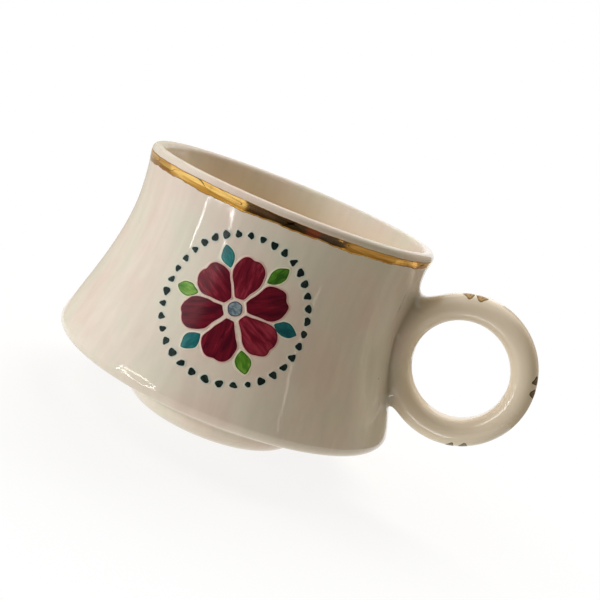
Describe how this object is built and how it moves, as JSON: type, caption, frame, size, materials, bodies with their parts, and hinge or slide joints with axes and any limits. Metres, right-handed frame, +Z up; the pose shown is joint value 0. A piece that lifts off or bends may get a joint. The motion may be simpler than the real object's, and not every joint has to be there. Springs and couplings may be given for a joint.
{
  "type": "coffee cup",
  "caption": "Glazed ceramic coffee cup with a round shoulder, drawn-in waist, flared gilt lip, low foot, ring handle and an enamelled rosette medallion.",
  "frame": {"origin": "on the bowl's axis, at the flat face that the cup stands on", "axes": "+Z up along the bowl's axis to the mouth, +X from the bowl out through the ring handle, and the medallion on the -Y side"},
  "size_m": [0.1162, 0.0872, 0.061],
  "materials": {
    "bowl_glaze": "clear gloss glaze over cream clay, with faint specks",
    "handle_glaze": "clear gloss glaze over cream clay",
    "gilding": "burnished gold lustre, brushed on by hand",
    "crimson_enamel": "raised fired enamel, brushed",
    "slate_enamel": "raised fired enamel",
    "teal_enamel": "raised fired enamel",
    "green_enamel": "raised fired enamel",
    "pine_enamel": "raised fired enamel"
  },
  "bodies": {
    "root": {"cup_body": "bowl_glaze", "ring_handle": "handle_glaze", "upper_luting": "handle_glaze", "lower_luting": "handle_glaze", "rim_band": "gilding", "handle_dab_1": "gilding", "handle_dab_2": "gilding", "handle_dab_3": "gilding", "handle_dab_4": "gilding", "handle_dab_5": "gilding", "handle_dab_6": "gilding", "petal_1": "crimson_enamel", "petal_2": "crimson_enamel", "petal_3": "crimson_enamel", "petal_4": "crimson_enamel", "petal_5": "crimson_enamel", "petal_6": "crimson_enamel", "flower_heart": "slate_enamel", "leaf_1": "teal_enamel", "leaf_3": "teal_enamel", "leaf_5": "teal_enamel", "leaf_2": "green_enamel", "leaf_4": "green_enamel", "leaf_6": "green_enamel", "dot_1": "pine_enamel", "dot_2": "pine_enamel", "dot_3": "pine_enamel", "dot_4": "pine_enamel", "dot_5": "pine_enamel", "dot_6": "pine_enamel", "dot_7": "pine_enamel", "dot_8": "pine_enamel", "dot_9": "pine_enamel", "dot_10": "pine_enamel", "dot_11": "pine_enamel", "dot_12": "pine_enamel", "dot_13": "pine_enamel", "dot_14": "pine_enamel", "dot_15": "pine_enamel", "dot_16": "pine_enamel", "dot_17": "pine_enamel", "dot_18": "pine_enamel", "dot_19": "pine_enamel", "dot_20": "pine_enamel", "dot_21": "pine_enamel", "dot_22": "pine_enamel", "dot_23": "pine_enamel", "dot_24": "pine_enamel", "dot_25": "pine_enamel", "dot_26": "pine_enamel", "dot_27": "pine_enamel", "dot_28": "pine_enamel", "dot_29": "pine_enamel", "dot_30": "pine_enamel", "dot_31": "pine_enamel", "dot_32": "pine_enamel", "dot_33": "pine_enamel", "dot_34": "pine_enamel", "dot_35": "pine_enamel", "dot_36": "pine_enamel"}
  },
  "joints": []
}
